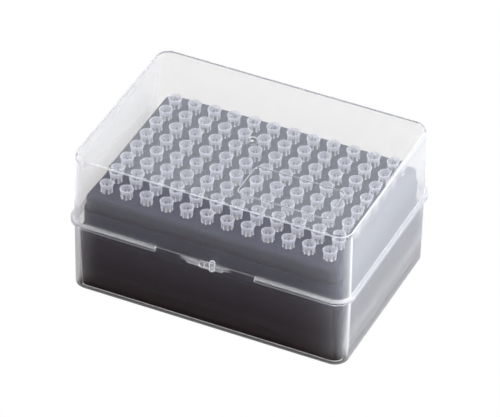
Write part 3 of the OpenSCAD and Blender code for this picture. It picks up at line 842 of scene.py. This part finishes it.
def tip_surface(tip_l):
    """One tip standing mouth up with its mouth at height 0, as a closed surface: radius = profile
    + (fin_r - tube_r) x fin share x swell of the angle. Rows run down the outside and up the bore;
    their columns are radius, height, fin share, and haze with painted highlights."""
    socket_z = collar_h + socket_l
    shank_z = (socket_z + tip_l) / 2
    # The last column is an even haze, with painted highlights on the mouth's ring and the collar.
    outside = np.array([
        [mouth_r - 0.1, 0, 0, 0.45], [mouth_r, -0.1, 0, 0.5], [mouth_r, -ring_h + 0.05, 0, 0.3],
        [mouth_r - 0.05, -ring_h, 0, 0.27], [fin_r + 0.04, -mouth_h + 0.08, 0, 0.25],
        [fin_r, -mouth_h, 0, 0.25], [tube_r, -mouth_h - 0.02, 1, 0], [tube_r, -collar_h + 0.6, 1, 0],
        [tube_r, -collar_h + 0.01, 1, 0], [tube_r, -collar_h, 0, 0.3],
        [tube_r, -collar_h - plate_t, 0, 0.1], [socket_r, -socket_z, 0, 0.1],
        [shank_r, -shank_z, 0, 0.1], [point_r, -tip_l, 0, 0.1]])
    inside = np.array([
        [point_bore_r, -tip_l, 0, 0.1], [shank_r - tip_wall, -shank_z, 0, 0.1],
        [socket_r - tip_wall, -socket_z, 0, 0.1], [tube_r - tip_wall, -collar_h - plate_t, 0, 0],
        [bore_r, -mouth_h, 0, 0.12], [mouth_r - edge_t - 0.08, -0.12, 0, 0.14],
        [mouth_r - edge_t, 0, 0, 0.45]])
    radius, height, fin, haze_and_painted_light = np.vstack([outside, inside]).T[..., None]
    in_fin = np.array([-fin_half - 2, -fin_half + 0.5, 0, fin_half - 0.5, fin_half + 2, 16.5, 22.5, 28.5])
    angle = np.radians((np.arange(fins)[:, None] * 360 / fins + in_fin[None]).ravel())
    swell = np.tile([0, 1, 1, 1, 0, 0, 0, 0], fins) * fin
    r = radius + (fin_r - tube_r) * swell
    # Painted highlight: a fin is painted whiter, and most at its foot, where it ends on the plate.
    foot = smooth_step(-height, collar_h - 1.0, collar_h - 0.1)
    haze_and_painted_light = haze_and_painted_light + swell * (0.3 + 0.7 * foot)
    points = np.stack([r * np.cos(angle), r * np.sin(angle), height + 0 * r], -1)
    return part(points, quads(*r.shape, wrap_rows=True, wrap_cols=True), haze_and_painted_light)


def turned(points, degrees):
    """Turns points about the upright axis through the origin."""
    c, s = math.cos(math.radians(degrees)), math.sin(math.radians(degrees))
    return points @ np.array([[c, s, 0], [-s, c, 0], [0, 0, 1]])


# %% Twelve columns of eight

tip_nodes = sorted(n for n in frame["nodes"] if n.startswith("tips_column_"))
tip_x = np.array([sum(box_mm(name))[0] / 2 for name in tip_nodes])
tip_low, tip_high = box_mm(tip_nodes[0])
tip_y = np.linspace(tip_low[1] + mouth_r, tip_high[1] - mouth_r, rows_of_tips)
print(f"{len(tip_x)} x {len(tip_y)} tips, {tip_x[1] - tip_x[0]:.2f} mm apart")

for i, name in enumerate(tip_nodes):
    low, high = box_mm(name)
    surface, faces, looks = tip_surface(high[2] - low[2])
    column = [(turned(surface, (i * rows_of_tips + j) * golden_angle) + [tip_x[i], y, high[2]], faces, looks)
              for j, y in enumerate(np.linspace(low[1] + mouth_r, high[1] - mouth_r, rows_of_tips))]
    tips = piece(name.replace("tips_column", "tips"), column, tip_plastic)
    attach(tips, "base")
    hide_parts(name)

# %% [markdown]
# ## The rack
# The rack is one moulding in dark plastic: a plate with 96 round holes on two low tiers, and a skirt
# that drops to the base's floor. Boolean cuts would make the holes too, with long thin faces between
# them that shade badly. Here each hole has its own cell of the plate, a ring of quads between the
# circle and the cell's rectangle. Neighbours share their rectangle's points, so the cells close up.

# %% Sizes of the rack

rack_wall, tier_in_x, tier_in_y = 1.4, 3.0, 1.2
tier_h, band_step, band_h, groove_in, groove_h = 6.4, 0.9, 6.6, 0.4, 4.9
tier_r, tier_edge_r, band_edge_r, step_edge_r, hole_clear = 4.0, 2.0, 0.4, 0.6, 0.15
plate_top, rack_foot = rack_high[2], rack_low[2]
band_z = plate_top - tier_h
groove_z = band_z - band_h
skirt_z = groove_z - groove_h
tier_core = skirt_half - [tier_in_x, tier_in_y] - tier_r
skirt_r = corner_r - base_wall - draft
hole_r = tube_r + hole_clear
per_side = 8
print(f"steps of the rack at {plate_top:.1f}, {band_z:.1f}, {groove_z:.1f} and {skirt_z:.1f} mm")

# %% The plate and its holes


def cell_borders(middles, half):
    """Borders of the cells: half way between neighbours, and the core's edge at both ends."""
    return np.hstack([-half, (middles[1:] + middles[:-1]) / 2, half])


def plate_cells():
    """All cells at once, as an array (x, y, row, step round the hole, 3). The rows lead from the
    rectangle above over the hole's rounded edge, down the bore, and out to the rectangle below."""
    bx, by = cell_borders(tip_x, tier_core[0]), cell_borders(tip_y, tier_core[1])
    step, count = np.arange(per_side) / per_side, 4 * per_side
    u = np.hstack([step, 0 * step + 1, 1 - step, 0 * step])
    x = (bx[:-1, None] + np.diff(bx)[:, None] * u)[:, None]
    y = (by[:-1, None] + np.diff(by)[:, None] * np.roll(u, per_side))[None]
    rectangle = np.stack(np.broadcast_arrays(x, y), -1)[:, :, None]
    hole_edge = 0.25
    radius = hole_r + np.array([0.5, hole_edge, hole_edge * 0.3, 0, 0, 0.5])
    drop = np.array([0, 0, hole_edge * 0.3, hole_edge, plate_t, plate_t])
    angle = np.radians(225 + 360 * np.arange(count) / count)
    middle = np.stack(np.meshgrid(tip_x, tip_y, indexing="ij"), -1)[:, :, None, None]
    circles = middle + radius[:, None, None] * np.stack([np.cos(angle), np.sin(angle)], -1)
    xy = np.concatenate([rectangle, circles, rectangle], 2)
    z = plate_top - np.hstack([0, drop, plate_t])[:, None, None] + 0 * xy[..., :1]
    cells, rows = len(tip_x) * len(tip_y), xy.shape[2]
    first = np.arange(cells)[:, None, None] * rows * count
    faces = (quads(rows, count, wrap_cols=True) + first).reshape(-1, 4)
    return part(np.concatenate([xy, z], -1), faces)


plate = plate_cells()
print("the plate has", len(plate[1]), "quads for", len(tip_x) * len(tip_y), "holes")

# %% The tiers and the skirt


def cell_lines(middles, half):
    """The plate's cut lines one way: each cell's side in per_side even steps."""
    borders = cell_borders(middles, half)
    inner = borders[:-1, None] + np.diff(borders)[:, None] * np.arange(per_side) / per_side
    return np.append(inner.ravel(), borders[-1])


def rack_upper():
    """The plate's border, the two tiers and the groove outside, and back up inside, as one profile
    carried round the upper tier's core."""
    edge, normal = core_path(cell_lines(tip_x, tier_core[0]), cell_lines(tip_y, tier_core[1]))
    band_r, inner_r = tier_r + band_step, tier_r - rack_wall
    groove_r = band_r - groove_in
    profile = np.vstack([
        [0, plate_top], arc(tier_r - tier_edge_r, plate_top - tier_edge_r, tier_edge_r, 90, 0, 10),
        [[tier_r, band_z + 0.2], [tier_r + 0.06, band_z + 0.06], [tier_r + 0.2, band_z]],
        arc(band_r - band_edge_r, band_z - band_edge_r, band_edge_r, 90, 0, 5),
        [[band_r, groove_z + 0.15], [band_r - 0.1, groove_z], [groove_r, groove_z], [groove_r, skirt_z - 0.5],
         [inner_r, skirt_z - 0.5], [inner_r, plate_top - plate_t], [0, plate_top - plate_t]]])
    # Painted shade: the ledge under the upper tier is painted darker by half, its rounded edge by a quarter.
    painted_recess_shade = 0.5 * ((np.abs(profile[:, 1:] - band_z) < 0.25) & (profile[:, :1] > tier_r - 0.1))
    rounded_edge = slice(4, 11)
    painted_recess_shade[rounded_edge] = 0.28
    return swept_bands(edge, normal, [(profile[:, :1], profile[:, 1:], painted_recess_shade, 0 * painted_recess_shade)])


def rack_skirt():
    """The skirt as a closed ring: up its outside, in over its top, and down its inside. Its painted
    shade grows from half at the top to full at the foot, deep between rack and base."""
    core = skirt_half - skirt_r
    edge, normal = core_path(lines(core[0], 9, [], near), lines(core[1], 9, [], near))
    inner_r = skirt_r - rack_wall
    profile = np.vstack([
        [[skirt_r, rack_foot], [skirt_r, skirt_z - step_edge_r]],
        arc(skirt_r - step_edge_r, skirt_z - step_edge_r, step_edge_r, 0, 90, 5),
        [[1.0, skirt_z], [1.0, skirt_z - rack_wall], [inner_r, skirt_z - rack_wall], [inner_r, rack_foot]]])
    n, z = len(edge), profile[:, 1:]
    painted_recess_shade = stack_rows(n, 1.0 - 0.5 * (z - rack_foot) / (skirt_z - rack_foot))
    return swept(edge, normal, stack_rows(n, profile[:, :1]), z, painted_recess_shade, ring=True)


# %% The finished rack
rack = piece("rack", [plate, rack_upper(), rack_skirt()], rack_plastic)
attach(rack, "base")
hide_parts("tip_rack")

# %% [markdown]
# ## Floor and surroundings
# The box stands on a white sweep of paper. Clear plastic shows what stands round it, so surroundings
# that are white all over would wash the box out. Floor and world are therefore white where the eye
# sees them straight or through a clear wall, and toned where they light the box or are mirrored in
# it. The floor's tone is painted light: brown with painted shade in front, which gives the dark front,
# and painted pale beside and behind the box; that pale floor and the sky behind give the light sides.

# %% What the eye sees straight


def seen_straight(t):
    """1 for what the eye sees directly or through clear walls, and 0 for what lights or mirrors:
    clamp(max(camera ray, transmission ray) - number of diffuse and glossy bounces)."""
    path = node(t, "LightPath").outputs
    sight = node(t, "Math", {0: path["Is Camera Ray"], 1: path["Is Transmission Ray"]}, operation="MAXIMUM")
    bounces = node(t, "Math", {0: path["Diffuse Depth"], 1: path["Glossy Depth"]}, operation="ADD")
    return node(t, "Math", {0: sight, 1: bounces}, operation="SUBTRACT", use_clamp=True)


# %% The floor

bpy.ops.mesh.primitive_plane_add(size=12, location=(0, 0, -0.0002))
floor = bpy.context.object
floor.name = "floor"


def white_sweep(name, brown_and_painted_shade_tone, painted_light_tone, blend):
    """White paper sweep, seen as white. Where it lights or mirrors the box it is toned with painted
    light: a brown tone with painted shade in front, which turns to a paler tone of painted light
    beside and behind the box over the blend's width: share = max of a ramp along X and a weaker
    one along Y."""
    m, t = new_material(name)
    place = node(t, "SeparateXYZ", {0: node(t, "TexCoord").outputs["Object"]}).outputs
    ramps = [node(t, "MapRange", {"Value": place[axis], "From Min": start * MM,
                                  "From Max": (start + blend) * MM, "To Max": share})
             for axis, start, share in (("X", half_w - 2, 1.0), ("Y", half_d + 2, 0.6))]
    beside = node(t, "Math", dict(enumerate(ramps)), operation="MAXIMUM")
    tone = node(t, "Mix", {"Factor": beside, 6: hex_colour(brown_and_painted_shade_tone), 7: hex_colour(painted_light_tone)},
                data_type="RGBA").outputs[2]
    paper, glow = node(t, "BsdfDiffuse", {"Color": tone}), node(t, "Emission", {"Strength": 1.0})
    node(t, "OutputMaterial", {"Surface": node(t, "MixShader", {
        "Fac": seen_straight(t), 1: paper, 2: glow})})
    return m


# Painted shade in front as dark brown, and painted light beside and behind as pale grey.
floor.data.materials.append(white_sweep("white_paper_sweep", "#56322E", "#C0C2C8", blend=6))
print("floor:", floor.dimensions.x, "m wide")

# %% The world

world = bpy.data.worlds.new("studio")
world.use_nodes = True
wt = world.node_tree
heading = node(wt, "SeparateXYZ", {0: node(wt, "TexCoord").outputs["Generated"]})
level = node(wt, "MapRange", {"Value": heading.outputs["Y"], "From Min": -0.85,
                              "From Max": 0.45, "To Min": 0.04, "To Max": 0.85})
strength = node(wt, "Mix", {"Factor": seen_straight(wt), "A": level, "B": 1.0})
background = wt.nodes["Background"].inputs
wt.links.new(strength.outputs[0], background["Strength"])
background["Color"].default_value = (0.96, 0.975, 1.0, 1)
bpy.context.scene.world = world
print("world:", world.name)

# %% [markdown]
# ## Light and camera
# Large soft lamps make long even highlights along rounded edges, where small lamps would make dots.
# The strongest stands on the right, and three weak ones keep the front readable. The camera is far
# away with a long lens, so that upright edges stay nearly parallel.

# %% Softboxes


def softbox(name, place, aim, size, power):
    """A rectangular soft lamp that faces a point."""
    lamp = bpy.data.lights.new(name, "AREA")
    lamp.shape = "RECTANGLE"
    lamp.size, lamp.size_y = size
    lamp.energy = power
    obj = bpy.data.objects.new(name, lamp)
    obj.location = place
    obj.rotation_euler = (Vector(aim) - Vector(place)).to_track_quat("-Z", "Y").to_euler()
    bpy.context.scene.collection.objects.link(obj)
    print(f"{name} lamp: {power} W over {size[0]} x {size[1]} m")


softbox("right", (1.4, 0.3, 0.7), (0, 0, 0.05), (0.9, 0.9), 24)
softbox("overhead", (-0.2, -0.6, 1.2), (0, 0, 0.05), (0.7, 0.3), 4)
softbox("fill", (-0.5, -1.2, 0.35), (0, 0, 0.04), (0.7, 0.7), 4.5)
softbox("left", (-1.3, -0.5, 0.35), (0, 0, 0.04), (0.6, 0.6), 3.2)

# %% Camera

azimuth, elevation, roll = math.radians(24.24), math.radians(37.15), math.radians(1.28)
distance, lens = 1.7928, 317.7
centre, target = Vector((0, 0, 0.0502)), Vector((0.00358, -0.00839, 0.03817))
toward = Vector((math.sin(azimuth) * math.cos(elevation), -math.cos(azimuth) * math.cos(elevation),
                 math.sin(elevation)))
cam = bpy.data.cameras.new("camera")
cam.lens, cam.sensor_width, cam.clip_end = lens, 36, 50
camera = bpy.data.objects.new("camera", cam)
bpy.context.scene.collection.objects.link(camera)
camera.location = centre + distance * toward
look = (target - camera.location).to_track_quat("-Z", "Y")
camera.rotation_mode = "QUATERNION"
camera.rotation_quaternion = look @ Quaternion((0, 0, 1), roll)
scene = bpy.context.scene
scene.camera = camera
print(f"camera {distance:.2f} m away, {math.degrees(elevation):.0f} degrees up")

# %% [markdown]
# ## Light paths
# A look into the box crosses four clear walls and many tips, and each surface that light passes
# counts as a bounce, so the limits are raised. The plain view transform keeps white paper white.

# %% Bounces and the view transform

scene.view_settings.view_transform = "Standard"
scene.cycles.max_bounces = 24
scene.cycles.transmission_bounces = 24
scene.cycles.transparent_max_bounces = 24
